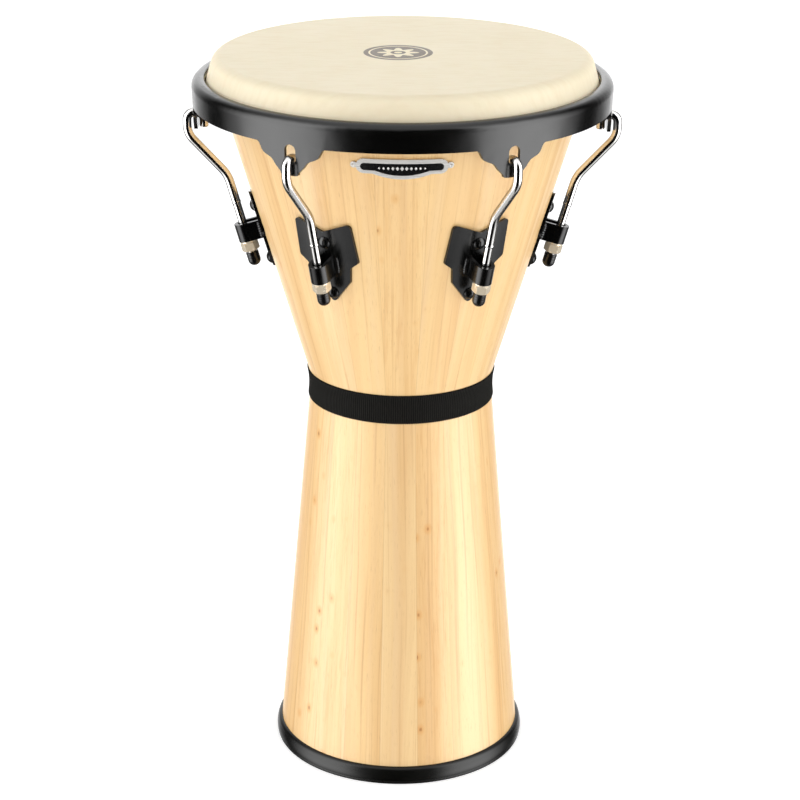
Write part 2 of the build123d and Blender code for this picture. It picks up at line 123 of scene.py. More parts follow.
# ---- tuning lugs -------------------------------------------------------------------
LUG_AZIMUTHS = [math.radians(a) for a in (30, 90, 150, 210, 270, 330)]
ROD_R = 3.55 * MM
ROD_STEM_R = 3.35 * MM
THREAD_R = 3.95 * MM
THREAD_ROOT_R = 3.3 * MM
THREAD_PITCH = 1.25 * MM
THREAD_STATIONS = 8          # for each turn of the thread
THREAD_FLANK = 0.44          # share of the pitch from crest to root
THREAD_FLATTEN = 1.25
THREAD_RUNOUT = 0.6 * MM
THREAD_SPARE = 0.8 * MM
THREAD_TIP_RISE = 0.2
COLLAR_R = 3.75 * MM
COLLAR_UP = 34.2 * MM        # distances along the rod's axis from the bracket's lower face
COLLAR_LOW = 33.0 * MM
THREAD_UP = 11.0 * MM
ROD_END_DOWN = 19.5 * MM
NUT_MIDDLE_DOWN = 5.3 * MM   # where the nut's joint sits on that axis
DIAGONAL_RISE = 1.067
DIAGONAL_R = 161.0 * MM
DIAGONAL_Z = 526.0 * MM
ROD_BENDS = [28 * MM, 18 * MM, 6 * MM, 6 * MM]
HOOK_WIDTH = 13.8 * MM
HOOK_TIP_DROP = 12.0 * MM
HOOK_TIP_ROUND = 1.2 * MM
HOOK_TIP_STEPS = 6
BEND_STEP = 5                # degrees
ROD_SIDES = 48
CAP_R = 5.3 * MM
CAP_TOP_DOWN = 10.3 * MM
CAP_END_DOWN = 22.6 * MM
CAP_END_ROUND = 5.0 * MM
CAP_MOUTH_ROUND = 0.6 * MM
CAP_RING_DEPTH = 0.12 * MM
CAP_RINGS = 3
CAP_SIDES = 48
CAP_WALL_STEPS = 24
CAP_END_STEPS = 18
CAP_MOUTH_STEPS = 6

# ---- brackets ------------------------------------------------------------------------
BRACKET_HEIGHT = 15.5 * MM
WELD_OUT = 13.9 * MM
WELD_ACROSS = 7.9 * MM
WELD_R = 2.4 * MM
WELD_END = 0.7 * MM
WELD_STEPS = 60
WELD_SIDES = 14
WELD_RIPPLES = 7
WELD_RIPPLE_DEPTH = 0.4 * MM
WELD_LUMP_DEPTH = 0.4 * MM

# ---- rounded edges of CAD parts --------------------------------------------------------
PLATE_EDGE_ROUND = 0.5 * MM
EDGE_ROUNDS = {
    "rim": 0.5 * MM,
    "lug_bracket": 0.45 * MM,
    "lug_nut": 0.2 * MM,
    "nameplate_frame": 0.45 * MM,
}
for plate in range(1, len(LUG_AZIMUTHS) + 1):
    EDGE_ROUNDS[f"side_plate_{plate}"] = PLATE_EDGE_ROUND
EDGE_SEGMENTS = 3
EDGE_ANGLE = math.radians(35)
SEAM_MERGE = 0.002 * MM

# ---- nameplate ornament ------------------------------------------------------------------
NAME_INSET_RISE = 1.1 * MM
DIAMOND_COUNT = 11
DIAMOND_STEP = 3.5 * MM
DIAMOND_HEIGHT = 0.35 * MM
DIAMOND_SINK = 0.05 * MM
DIAMOND_CORNERS = ((1.7, 0), (0, 2.1), (-1.7, 0), (0, -2.1))
DIAMOND_ROW_UP = 0.9 * MM

# ---- camera --------------------------------------------------------------------------
CAMERA_PLACE = Vector((-0.0006, -1.905, 1.0277))
CAMERA_PITCH = math.radians(20.65)
CAMERA_ROLL = math.radians(0.33)
CAMERA_LENS = 107.8
CAMERA_SENSOR = 36

# ---- studio ---------------------------------------------------------------------------
WORLD_LIGHT = 0.72           # what matt surfaces see all round
SOFTBOX_LIGHT = 5.0          # what gloss sees at the softboxes' middle
OVERHEAD_TONE = 0.25
UNDERFOOT_SHADE = 0.85       # how much darker the floor close to the drum mirrors
SOFTBOX_TONES = [            # share of the half turn from the front: tone that gloss sees
    (0.0, 0.0),
    (0.18, 0.0),
    (0.29, 0.95),
    (0.38, 1.0),
    (0.47, 0.9),
    (0.57, 0.22),
    (0.63, 0.0),
    (0.71, 0.0),
    (0.79, 0.12),
    (0.9, 0.3),
    (1.0, 0.4),
]
BACKDROP_TONE = 0.96         # what the camera sees past the floor
SOFTBOX_TARGET = (0, 0, 0.35)
SIDE_PLACE = (1.9, 0.3, 1.0)
SIDE_SIZE = (1.4, 1.5)
SIDE_POWER = 13.0
FRONT_PLACE = (0, -2.6, 1.1)
FRONT_SIZE = (1.6, 1.2)
FRONT_POWER = 11.0
FLOOR_SIZE = 12
FLOOR_GLOW = 0.4


# ---- node trees --------------------------------------------------------------------------
def linear(red, green, blue):
    """An 8-bit display colour as the linear colour that the shaders want."""
    def channel(value):
        value /= 255
        return value / 12.92 if value <= 0.04045 else ((value + 0.055) / 1.055) ** 2.4
    return (channel(red), channel(green), channel(blue), 1.0)


class Tree:
    """Short calls for writing a node tree; a socket given as a value is linked, a number is set."""

    def __init__(self, owner):
        owner.use_nodes = True
        self.tree = owner.node_tree

    def add(self, kind, inputs, **settings):
        node = self.tree.nodes.new(kind)
        for name, value in settings.items():
            setattr(node, name, value)
        for key, value in inputs.items():
            if isinstance(value, bpy.types.NodeSocket):
                self.tree.links.new(value, node.inputs[key])
            else:
                node.inputs[key].default_value = value
        return node

    def math(self, operation, *values):
        node = self.add("ShaderNodeMath", dict(enumerate(values)), operation=operation)
        return node.outputs[0]

    def times(self, a, b):
        return self.math("MULTIPLY", a, b)

    def plus(self, a, b):
        return self.math("ADD", a, b)

    def minus(self, a, b):
        return self.math("SUBTRACT", a, b)

    def azimuth(self, x, y):
        """Angle about Z from the front, which is -Y."""
        return self.math("ARCTAN2", x, self.times(y, -1.0))

    def distance(self, x, y):
        return self.math("SQRT", self.plus(self.times(x, x), self.times(y, y)))

    def vector(self, x, y, z):
        return self.add("ShaderNodeCombineXYZ", {0: x, 1: y, 2: z}).outputs[0]

    def stretch(self, vector, factors):
        node = self.add("ShaderNodeVectorMath", {0: vector, 1: factors}, operation="MULTIPLY")
        return node.outputs[0]

    def noise(self, vector, scale, detail=3.0, roughness=0.5, distortion=0.0):
        inputs = {
            "Vector": vector,
            "Scale": scale,
            "Detail": detail,
            "Roughness": roughness,
            "Distortion": distortion,
        }
        return self.add("ShaderNodeTexNoise", inputs).outputs["Fac"]

    def ramp(self, value, stops, easing="LINEAR"):
        node = self.add("ShaderNodeValToRGB", {0: value})
        node.color_ramp.interpolation = easing
        elements = node.color_ramp.elements
        while len(elements) < len(stops):
            elements.new(0.5)
        for element, (place, colour) in zip(elements, stops):
            element.position = place
            element.color = colour if isinstance(colour, tuple) else (colour, colour, colour, 1)
        return node.outputs[0]

    def mix(self, factor, a, b, blend="MIX"):
        node = self.add("ShaderNodeMix", {0: factor, 6: a, 7: b}, data_type="RGBA", blend_type=blend)
        return node.outputs[2]

    def remap(self, value, low, high, to_low, to_high):
        inputs = {0: value, 1: low, 2: high, 3: to_low, 4: to_high}
        return self.add("ShaderNodeMapRange", inputs).outputs[0]

    def bump(self, height, distance, strength=1.0):
        inputs = {"Height": height, "Distance": distance, "Strength": strength}
        return self.add("ShaderNodeBump", inputs).outputs[0]

    def place(self):
        return self.add("ShaderNodeTexCoord", {}).outputs["Object"]

    def split(self, vector):
        return self.add("ShaderNodeSeparateXYZ", {0: vector}).outputs


def material(name, **shader):
    """A new material with its Principled shader's constants set."""
    made = bpy.data.materials.new(name)
    tree = Tree(made)
    principled = made.node_tree.nodes["Principled BSDF"]
    for key, value in shader.items():
        principled.inputs[key.replace("_", " ")].default_value = value
    return made, tree, principled


def feed(tree, principled, **sockets):
    for key, socket in sockets.items():
        tree.tree.links.new(socket, principled.inputs[key.replace("_", " ")])


# ---- materials -----------------------------------------------------------------------------
def knots(tree, colour, grain_x, grain_z, wander, curl, lively):
    """Small frayed knots, in most cells of a stretched pattern, stronger on the lively staves."""
    flat_grain = tree.vector(tree.plus(grain_x, tree.times(wander, 7.0)), 0.0, grain_z)
    stretched = tree.stretch(flat_grain, (62, 1, 44))
    cells = tree.add("ShaderNodeTexVoronoi", {"Vector": stretched, "Scale": 1.0})
    rarity = tree.remap(tree.split(cells.outputs["Color"])[0], 0.3, 0.5, 0.3, 0.0)
    frayed = tree.plus(tree.times(tree.minus(curl, 0.5), 0.2), rarity)
    near_knot = tree.plus(cells.outputs["Distance"], frayed)
    halo = tree.times(lively, tree.ramp(near_knot, [(0.08, 0.6), (0.26, 0.0)]))
    colour = tree.mix(halo, colour, linear(222, 156, 74))
    core = tree.times(lively, tree.ramp(near_knot, [(0.03, 0.85), (0.09, 0.0)]))
    return tree.mix(core, colour, linear(176, 110, 42))


def rubberwood():
    """Pale staves, each with its own tint and run of grain, under a satin lacquer."""
    made, tree, principled = material(
        "rubberwood", Coat_Weight=0.25, Coat_Roughness=0.2,
        Specular_IOR_Level=0.85, Specular_Tint=(0.75, 0.86, 1.0, 1),
    )
    x, y, z = tree.split(tree.place())
    azimuth = tree.azimuth(x, y)
    stave = tree.plus(tree.times(azimuth, STAVE_COUNT / TURN), 0.5)
    upper = tree.math("GREATER_THAN", z, WAIST_Z)
    number = tree.math("FLOORED_MODULO", tree.math("FLOOR", stave), STAVE_COUNT)
    chance = tree.add("ShaderNodeTexWhiteNoise", {"Vector": tree.vector(number, upper, 1.3)})
    tint, shift, wander = tree.split(chance.outputs["Color"])
    radius = tree.distance(x, y)
    offset = tree.minus(tree.math("FRACT", stave), 0.5)
    across = tree.times(tree.times(offset, radius), TURN / STAVE_COUNT)
    drift = tree.noise(tree.vector(shift, tree.times(z, 2.2), wander), 1.0, 2.0)
    grain_x = tree.plus(across, tree.times(drift, 0.02))
    grain_z = tree.plus(z, tree.times(shift, 9.0))
    grain = tree.vector(grain_x, tree.times(wander, 5.0), grain_z)

    base = tree.ramp(tint, [
        (0.0, linear(240, 197, 131)),
        (0.35, linear(242, 203, 140)),
        (0.7, linear(244, 206, 144)),
        (1.0, linear(243, 208, 150)),
    ])
    bands = tree.noise(tree.stretch(grain, (48, 1, 2.0)), 1.0, 4.0, 0.55, 0.6)
    colour = tree.mix(tree.ramp(bands, [(0.4, 0.0), (0.7, 0.7)]), base, linear(224, 176, 112))
    streaks = tree.noise(tree.stretch(grain, (330, 1, 3.4)), 1.0, 3.0, 0.6)
    colour = tree.mix(tree.ramp(streaks, [(0.55, 0.0), (0.7, 0.45)]), colour, linear(196, 138, 76))
    pale = tree.noise(tree.stretch(grain, (90, 1.7, 1.3)), 1.0, 2.0)
    colour = tree.mix(tree.ramp(pale, [(0.5, 0.0), (0.75, 0.22)]), colour, linear(246, 222, 184))
    pores = tree.noise(tree.stretch(grain, (2600, 1, 95)), 1.0, 2.0, 0.5)
    pore_mask = tree.ramp(pores, [(0.63, 0.0), (0.72, 0.38)])
    colour = tree.mix(pore_mask, colour, linear(168, 112, 58))
    lively = tree.remap(wander, 0.5, 0.6, 0.12, 1.0)
    curl = tree.noise(tree.stretch(grain, (520, 1, 16)), 1.0, 3.0, 0.55, 1.4)
    curl_mask = tree.times(lively, tree.ramp(curl, [(0.52, 0.0), (0.66, 0.36)]))
    colour = tree.mix(curl_mask, colour, linear(214, 152, 78))
    colour = knots(tree, colour, grain_x, grain_z, wander, curl, lively)
    seam_room = tree.times(tree.minus(0.5, tree.math("ABSOLUTE", offset)), radius)
    seam = tree.remap(seam_room, 0.0004, 0.0012, 0.22, 0.0)
    colour = tree.mix(seam, colour, linear(170, 120, 66))
    dips = tree.plus(pore_mask, tree.times(seam, 1.5))
    roughness = tree.remap(bands, 0.3, 0.7, 0.36, 0.46)
    feed(
        tree, principled,
        Base_Color=colour,
        Roughness=roughness,
        Normal=tree.bump(tree.times(dips, -1.0), 0.00008),
    )
    return made


def powder_coat():
    """Satin black powder coat with a fine orange peel."""
    made, tree, principled = material("black_powder")
    place = tree.place()
    cloud = tree.noise(place, 60.0, 3.0)
    peel = tree.noise(place, 1500.0, 2.0, 0.5)
    feed(
        tree, principled,
        Base_Color=tree.mix(cloud, linear(4, 4, 4), linear(8, 8, 7)),
        Roughness=tree.remap(cloud, 0.3, 0.7, 0.2, 0.25),
        Normal=tree.bump(peel, 0.00003, 0.6),
    )
    return made


def plated_steel():
    """Polished chrome with faint drawing lines."""
    made, tree, principled = material("plated_steel", Metallic=1.0, Specular_Tint=(0.12, 0.12, 0.12, 1))
    place = tree.place()
    smear = tree.noise(tree.stretch(place, (400, 400, 60)), 1.0, 3.0)
    lines = tree.noise(tree.stretch(place, (2500, 2500, 90)), 1.0, 2.0)
    feed(
        tree, principled,
        Base_Color=tree.mix(smear, linear(226, 224, 221), linear(240, 239, 237)),
        Roughness=tree.remap(smear, 0.3, 0.7, 0.14, 0.24),
        Normal=tree.bump(lines, 0.00001, 0.5),
    )
    return made


def nickel():
    """Warm, slightly dulled nickel of the tuning nuts and their washers; the warmth is partly nickel's own
    tint and partly a painted reflection of the wood.
    """
    made, tree, principled = material("nickel", Metallic=0.45)
    smear = tree.noise(tree.place(), 420.0, 3.0)
    feed(
        tree, principled,
        # the warm base colours are partly nickel's own tint and partly a painted reflection of the wood
        Base_Color=tree.mix(smear, linear(226, 208, 178), linear(244, 234, 214)),
        Roughness=tree.remap(smear, 0.3, 0.7, 0.2, 0.28),
    )
    return made


def zinc_steel():
    """Bright zinc, a little warm, of the nuts and washers inside the bowl."""
    made, tree, principled = material("zinc_steel", Metallic=1.0)
    place = tree.place()
    smear = tree.noise(place, 700.0, 3.0)
    feed(
        tree, principled,
        Base_Color=tree.mix(smear, linear(214, 200, 182), linear(232, 222, 208)),
        Roughness=tree.remap(smear, 0.3, 0.7, 0.16, 0.3),
        Normal=tree.bump(smear, 0.00002, 0.4),
    )
    return made


def hoop_metal():
    """Plain dull steel of the flesh hoop."""
    made, tree, principled = material("hoop_metal", Metallic=1.0)
    smear = tree.noise(tree.place(), 500.0, 3.0)
    feed(
        tree, principled,
        Base_Color=tree.mix(smear, linear(150, 148, 144), linear(190, 188, 184)),
        Roughness=tree.remap(smear, 0.3, 0.7, 0.3, 0.45),
    )
    return made


def black_rubber():
    """Moulded rubber of the base ring, dull with a dusty bloom."""
    made, tree, principled = material("black_rubber", Specular_IOR_Level=0.32)
    place = tree.place()
    bloom = tree.noise(place, 35.0, 5.0, 0.6)
    skin = tree.noise(place, 2200.0, 2.0)
    feed(
        tree, principled,
        Base_Color=tree.mix(bloom, linear(5, 5, 4), linear(12, 12, 9)),
        Roughness=tree.remap(bloom, 0.3, 0.7, 0.25, 0.33),
        Normal=tree.bump(skin, 0.00003, 0.6),
    )
    return made


def black_vinyl():
    """Soft dipped vinyl of the rods' end caps."""
    made, tree, principled = material("black_vinyl")
    place = tree.place()
    cloud = tree.noise(place, 260.0, 3.0)
    feed(
        tree, principled,
        Base_Color=tree.mix(cloud, linear(7, 7, 7), linear(14, 13, 12)),
        Roughness=tree.remap(cloud, 0.3, 0.7, 0.16, 0.28),
        Normal=tree.bump(cloud, 0.00015, 0.5),
    )
    return made


def webbing():
    """Black woven strap: ribs from the weft, crossed by the warp's fine yarns; the grooves between the ribs
    and between the yarns are painted darker as shade.
    """
    made, tree, principled = material("webbing", Specular_IOR_Level=0.09)
    x, y, z = tree.split(tree.place())
    azimuth = tree.azimuth(x, y)
    rib = tree.math("SINE", tree.times(azimuth, RIB_COUNT))
    weave = tree.plus(tree.times(z, TURN / YARN_PITCH), tree.times(rib, 1.2))
    yarn = tree.math("SINE", weave)
    fuzz = tree.noise(tree.place(), 3000.0, 3.0, 0.6)
    cloud = tree.noise(tree.place(), 90.0, 3.0)
    # painted shade: the colour darkens in the rib and yarn grooves that the mesh and the bump already cut;
    # only the fuzz and the cloud are the yarn's own random tone
    shade = tree.plus(tree.times(rib, 0.55), tree.times(yarn, 0.15))
    light = tree.plus(tree.plus(shade, tree.times(fuzz, 0.5)), 0.3)
    colour = tree.mix(light, linear(1, 1, 1), linear(30, 29, 26))
    feed(
        tree, principled,
        Base_Color=tree.mix(tree.times(cloud, 0.3), colour, linear(9, 9, 8)),
        Roughness=tree.remap(fuzz, 0.3, 0.7, 0.6, 0.8),
        Normal=tree.bump(tree.plus(yarn, fuzz), 0.00006, 0.8),
    )
    return made


def head_skin():
    """Cream synthetic head with faint fibres and a printed ring ornament at its centre."""
    made, tree, principled = material("head_skin", Subsurface_Weight=0.08, Subsurface_Scale=0.002)
    place = tree.place()
    x, y, z = tree.split(place)
    x = tree.minus(x, PRINT_X)
    radius = tree.distance(x, y)
    azimuth = tree.math("ARCTAN2", x, y)
    cloud = tree.noise(place, 7.0, 4.0, 0.55)
    fibres = tree.noise(tree.stretch(place, (55, 260, 60)), 1.0, 4.0, 0.6)
    colour = tree.mix(cloud, linear(236, 222, 190), linear(246, 235, 208))
    colour = tree.mix(tree.ramp(fibres, [(0.45, 0.0), (0.75, 0.3)]), colour, linear(226, 208, 170))

    def inside(limit):
        return tree.remap(radius, limit - PRINT_BLUR, limit + PRINT_BLUR, 1.0, 0.0)

    def band(low, high):
        return tree.minus(inside(high), inside(low))

    petals = tree.math("COSINE", tree.times(azimuth, PETAL_COUNT))
    star_edge = tree.plus(tree.times(petals, PETAL_SWING), PETAL_R)
    star = tree.remap(tree.minus(radius, star_edge), -PRINT_BLUR, PRINT_BLUR, 1.0, 0.0)
    ring = band(PRINT_RING_INNER_R, PRINT_RING_OUTER_R)
    lines = tree.plus(ring, tree.minus(star, inside(PETAL_EYE_R)))
    lines = tree.plus(lines, inside(PRINT_DOT_R))
    ink = tree.times(inside(PRINT_R), tree.minus(1.0, lines))
    wear = tree.remap(tree.noise(place, 900.0, 3.0), 0.35, 0.6, 0.86, 0.97)
    colour = tree.mix(tree.times(ink, wear), colour, linear(104, 94, 86))
    feed(
        tree, principled,
        Base_Color=colour,
        Roughness=tree.remap(fibres, 0.3, 0.7, 0.48, 0.6),
        Normal=tree.bump(tree.plus(fibres, tree.noise(place, 1400.0, 2.0)), 0.00005, 0.5),
    )
    return made


def badge_metal():
    """Pale brushed metal of the nameplate's frame and diamonds."""
    made, tree, principled = material("badge_metal", Metallic=0.3)
    place = tree.place()
    brush = tree.noise(tree.stretch(place, (60, 60, 3000)), 1.0, 3.0)
    feed(
        tree, principled,
        Base_Color=tree.mix(brush, linear(206, 205, 202), linear(230, 229, 226)),
        Roughness=tree.remap(brush, 0.3, 0.7, 0.22, 0.34),
        Normal=tree.bump(brush, 0.00001, 0.5),
    )
    return made


def badge_black():
    """Glossy black of the nameplate's inset."""
    made, tree, principled = material("badge_black", Coat_Weight=0.6, Coat_Roughness=0.06)
    speckle = tree.noise(tree.place(), 1800.0, 2.0)
    feed(
        tree, principled,
        Base_Color=tree.mix(speckle, linear(12, 12, 13), linear(24, 24, 25)),
        Roughness=tree.remap(speckle, 0.3, 0.7, 0.2, 0.3),
        Normal=tree.bump(speckle, 0.00001, 0.4),
    )
    return made


MATERIALS = {
    "rubberwood": rubberwood(),
    "black_powder": powder_coat(),
    "plated_steel": plated_steel(),
    "nickel": nickel(),
    "zinc_steel": zinc_steel(),
    "hoop_metal": hoop_metal(),
    "black_rubber": black_rubber(),
    "black_vinyl": black_vinyl(),
    "webbing": webbing(),
    "head_skin": head_skin(),
    "badge_metal": badge_metal(),
    "badge_black": badge_black(),
}


# ---- meshes -----------------------------------------------------------------------------------
def shell_radius(height):
    """Outer radius of the wood, with the rounded waist."""
    stem = math.atan(STEM_TAPER)
    bowl = math.atan(BOWL_TAPER)
    reach = WAIST_BEND_R * math.tan((stem + bowl) / 2)
    low = WAIST_Z - reach * math.cos(stem)
    high = WAIST_Z + reach * math.cos(bowl)
    if height < low:
        return WAIST_R + (WAIST_Z - height) * STEM_TAPER
    if height > high:
        return WAIST_R + (height - WAIST_Z) * BOWL_TAPER
    centre_z = low + WAIST_BEND_R * math.sin(stem)
    centre_r = WAIST_R + (WAIST_Z - low) * STEM_TAPER + WAIST_BEND_R * math.cos(stem)
    return centre_r - math.sqrt(WAIST_BEND_R ** 2 - (height - centre_z) ** 2)


def on_front(radius, angle, height):
    """A point at an angle about Z from the front."""
    return (radius * math.sin(angle), -radius * math.cos(angle), height)


def skin_rings(mesh, rings, wrap_rows=False):
    """Quads between rings of vertices; every ring closes on itself, and open ends are capped."""
    pairs = list(zip(rings, rings[1:]))
    if wrap_rows:
        pairs.append((rings[-1], rings[0]))
    for low, high in pairs:
        count = len(low)
        for side in range(count):
            after = (side + 1) % count
            mesh.faces.new((low[side], low[after], high[after], high[side]))
    if not wrap_rows:
        mesh.faces.new(reversed(rings[0]))
        mesh.faces.new(rings[-1])


def baked(mesh, name, smooth=True):
    """The finished bmesh as mesh data."""
    for face in mesh.faces:
        face.smooth = smooth
    data = bpy.data.meshes.new(name)
    mesh.to_mesh(data)
    mesh.free()
    return data


def grid_mesh(name, rows, wrap_rows=False):
    """Quads between rows of points."""
    mesh = bmesh.new()
    rings = [[mesh.verts.new(point) for point in row] for row in rows]
    skin_rings(mesh, rings, wrap_rows)
    bmesh.ops.remove_doubles(mesh, verts=mesh.verts, dist=POINT_MERGE)
    bmesh.ops.recalc_face_normals(mesh, faces=mesh.faces)
    return baked(mesh, name)


def lathe(name, profile, segments=288):
    """A closed (radius, height) profile turned about Z."""
    rows = []
    for radius, height in profile:
        row = []
        for index in range(segments):
            angle = TURN * index / segments
            row.append((radius * math.cos(angle), radius * math.sin(angle), height))
        rows.append(row)
    return grid_mesh(name, rows, wrap_rows=True)


def arc(centre, radius, start, turn, steps):
    """Points of an arc, from its start angle through its turn."""
    points = []
    for index in range(steps + 1):
        angle = start + turn * index / steps
        points.append(centre + radius * Vector((math.cos(angle), math.sin(angle))))
    return points


def arc_through(start, middle, end, steps):
    """Points of the arc from start over middle to end."""
    start, middle, end = Vector(start), Vector(middle), Vector(end)
    a, b = middle - start, end - start
    spread = 2 * a.cross(b)
    centre = start + Vector((b.y * a.length_squared - a.y * b.length_squared,
                             a.x * b.length_squared - b.x * a.length_squared)) / spread
    turn = (start - centre).angle_signed(end - centre)
    swings = [Matrix.Rotation(-turn * step / steps, 2) for step in range(steps + 1)]
    return [centre + swing @ (start - centre) for swing in swings]


def creased(corners, room=0.25 * MM):
    """Straight runs between corners, with points close to each corner so that it shades crisply."""
    points = []
    for before, after in zip(corners, corners[1:]):
        before, after = Vector(before), Vector(after)
        step = (after - before).normalized() * min(room, (after - before).length / 3)
        points += [before, before + step, after - step]
    points.append(Vector(corners[-1]))
    return points


def linked(name, data):
    made = bpy.data.objects.new(name, data)
    bpy.context.scene.collection.objects.link(made)
    return made


def piece(name, data, slot, body, azimuth=0.0):
    """Adds a mesh, turned to its azimuth, riding on its body and made of its slot's material."""
    made = linked(name, data)
    made.matrix_world = Matrix.Rotation(azimuth, 4, "Z")
    if not data.materials:
        data.materials.append(MATERIALS[slot])
    if body:
        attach(made, body)
    return made


def dress_frame():
    """Every CAD node that stays gets its procedural material, and pressed or cast parts rounded edges."""
    for name, node in frame["nodes"].items():
        for place in node.material_slots:
            place.material = MATERIALS[place.material.name.split(".")[0]]
            if name.startswith(("lug_nut", "lug_washer")):
                place.material = MATERIALS["nickel"]
        for start, width in EDGE_ROUNDS.items():
            if name.startswith(start):
                round_edges(node, width)


def round_edges(node, width):
    """Rounds a CAD node's sharp edges by modifiers, after joining its seams."""
    weld = node.modifiers.new("weld", "WELD")
    weld.merge_threshold = SEAM_MERGE
    bevel = node.modifiers.new("bevel", "BEVEL")
    bevel.width = width
    bevel.segments = EDGE_SEGMENTS
    bevel.limit_method = "ANGLE"
    bevel.angle_limit = EDGE_ANGLE
    shade = node.modifiers.new("shade", "WEIGHTED_NORMAL")
    shade.keep_sharp = True


# ---- drumhead ------------------------------------------------------------------------------------
def drumhead():
    """Flat skin over the bearing edge, down the collar and round the flesh hoop."""
    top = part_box("drumhead_skin")[1].z
    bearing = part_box("bowl_staves")[1]
    hoop_low, hoop_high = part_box("flesh_hoop")
    thick = top - bearing.z
    crown = Vector((bearing.x - BEARING_ROUND, bearing.z - BEARING_ROUND))
    hoop = Vector((hoop_high.x - HOOP_WIRE_R, (hoop_low.z + hoop_high.z) / 2))
    inside = HOOP_WIRE_R + TUCK_GAP
    outside = inside + thick
    reach = hoop - crown
    lean = math.atan(reach.y / reach.x)
    spread = BEARING_ROUND + inside + thick
    angle = lean + math.pi / 2 - math.atan(spread / math.sqrt(reach.length ** 2 - spread ** 2))
    tuck = angle + math.pi
    bend = angle - math.pi / 2
    upper = [Vector((crown.x * step / FLAT_STEPS, top)) for step in range(FLAT_STEPS)]
    upper += arc(crown, BEARING_ROUND + thick, math.pi / 2, bend, BEARING_STEPS)
    upper += arc(hoop, inside, tuck, TUCK_TURN, TUCK_STEPS)
    lower = [Vector((crown.x * step / FLAT_STEPS, bearing.z)) for step in range(FLAT_STEPS)]
    lower += arc(crown, BEARING_ROUND, math.pi / 2, bend, BEARING_STEPS)
    lower += arc(hoop, outside, tuck, TUCK_TURN, TUCK_STEPS)
    skin = piece("drumhead", lathe("drumhead", upper + lower[::-1]), "head_skin", None)
    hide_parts("drumhead_skin")
    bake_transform(skin)


# ---- base ring -------------------------------------------------------------------------------------
def base_ring():
    """Rubber ring with a rolled top edge and a groove above the floor."""
    inner_r = shell_radius(FOOT_Z) - WALL
    seat_r = shell_radius(RING_TOP_Z)
    bulge_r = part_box("base_ring")[1].x
    roll_middle = (seat_r + RING_ROLL_OUT, RING_TOP_Z - RING_ROLL_DOWN)
    profile = creased([
        (RING_FOOT_R, 0),
        (inner_r - RING_INNER_WALL, 0),
        (inner_r - RING_INNER_WALL, RING_INNER_Z),
        (shell_radius(RING_INNER_Z) - WALL, RING_INNER_Z),
        (inner_r, FOOT_Z),
        (shell_radius(FOOT_Z), FOOT_Z),
        (seat_r, RING_TOP_Z),
    ])
    profile += arc_through((seat_r, RING_TOP_Z), roll_middle, RING_SHOULDER, RING_ROLL_STEPS)[1:]
    bulge_middle = (bulge_r, RING_BULGE_Z)
    bulge = arc_through(RING_SHOULDER, bulge_middle, (RING_FOOT_R, 0), RING_BULGE_STEPS)
    for point in bulge[1:-1]:
        share = min(1.0, abs(point.y - RING_GROOVE_Z) / RING_GROOVE_HALF)
        profile.append(point - Vector((RING_GROOVE_DEPTH * (1 + math.cos(share * math.pi)) / 2, 0)))
    ring = piece("foot_ring", lathe("foot_ring", profile), "black_rubber", "shell")
    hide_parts("base_ring")


# ---- waist strap -----------------------------------------------------------------------------------
def strap():
    """Ribbed webbing round the waist, with its ends lapped at the back."""
    low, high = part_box("waist_strap")
    columns = RIB_COUNT * RIB_COLUMNS

    def section(angle, inner, outer):
        rib = math.sin(angle * RIB_COUNT)
        scallop = STRAP_SCALLOP * (1 - rib)
        bottom = low.z + scallop
        top = high.z - scallop
        points = []
        for step in range(STRAP_STEPS + 1):
            height = bottom + (top - bottom) * step / STRAP_STEPS
            rounding = min(height - bottom, top - height, STRAP_EDGE) / STRAP_EDGE
            rise = outer - (1 - math.sin(rounding * math.pi / 2)) * STRAP_EDGE_DEPTH
            rise += RIB_DEPTH * (rib - 1) / 2
            points.append((shell_radius(height) + rise, height))
        for step in range(STRAP_STEPS, -1, -2):
            height = bottom + (top - bottom) * step / STRAP_STEPS
            points.append((shell_radius(height) + inner, height))
        return points

    def band(name, start, turn, inner, outer, closed):
        rows = []
        count = round(columns * turn / TURN)
        for column in range(count + (0 if closed else 1)):
            angle = start + turn * column / count
            rows.append([on_front(r, angle, z) for r, z in section(angle, inner, outer)])
        return grid_mesh(name, rows, wrap_rows=closed)

    loop = band("waist_webbing", 0, TURN, STRAP_GAP, STRAP_THICK, True)
    ring = piece("waist_webbing", loop, "webbing", "shell")
    lap_start = math.pi - STRAP_LAP / 2
    lap = band("webbing_lap", lap_start, STRAP_LAP, STRAP_THICK - RIB_DEPTH, 2 * STRAP_THICK, False)
    piece("webbing_lap", lap, "webbing", "shell")
    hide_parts("waist_strap")
    lap_stitches(low.z, high.z)


def lap_stitches(low_z, high_z):
    """Two rows of short stitches near each end of the lap."""
    mesh = bmesh.new()
    stretch = Matrix.Diagonal((STITCH_HALF_WIDTH, STITCH_HALF_WIDTH, STITCH_HALF_HEIGHT, 1))
    for row in STITCH_ROWS:
        angle = math.pi + row * STITCH_ROW_SWING
        for index in range(STITCH_COUNT):
            height = low_z + (high_z - low_z) * (index + 1) / (STITCH_COUNT + 1)
            radius = shell_radius(height) + 2 * STRAP_THICK - RIB_DEPTH / 2
            place = Matrix.Translation(on_front(radius, angle, height)) @ stretch
            bmesh.ops.create_uvsphere(mesh, u_segments=8, v_segments=6, radius=1, matrix=place)
    piece("lap_stitches", baked(mesh, "lap_stitches"), "webbing", "shell")


# ---- tuning lugs --------------------------------------------------------------------------------------
def lug_axis():
    """Point and direction, in the (radius, height) plane, of the rods' threaded end."""
    joint = next(j for j in frame["joints"] if j["name"] == "nut_turn_2")
    direction = Vector((joint["axis"][0], joint["axis"][2])).normalized()
    middle = Vector((joint["pos_m"][0], joint["pos_m"][2]))
    return middle + direction * NUT_MIDDLE_DOWN, direction


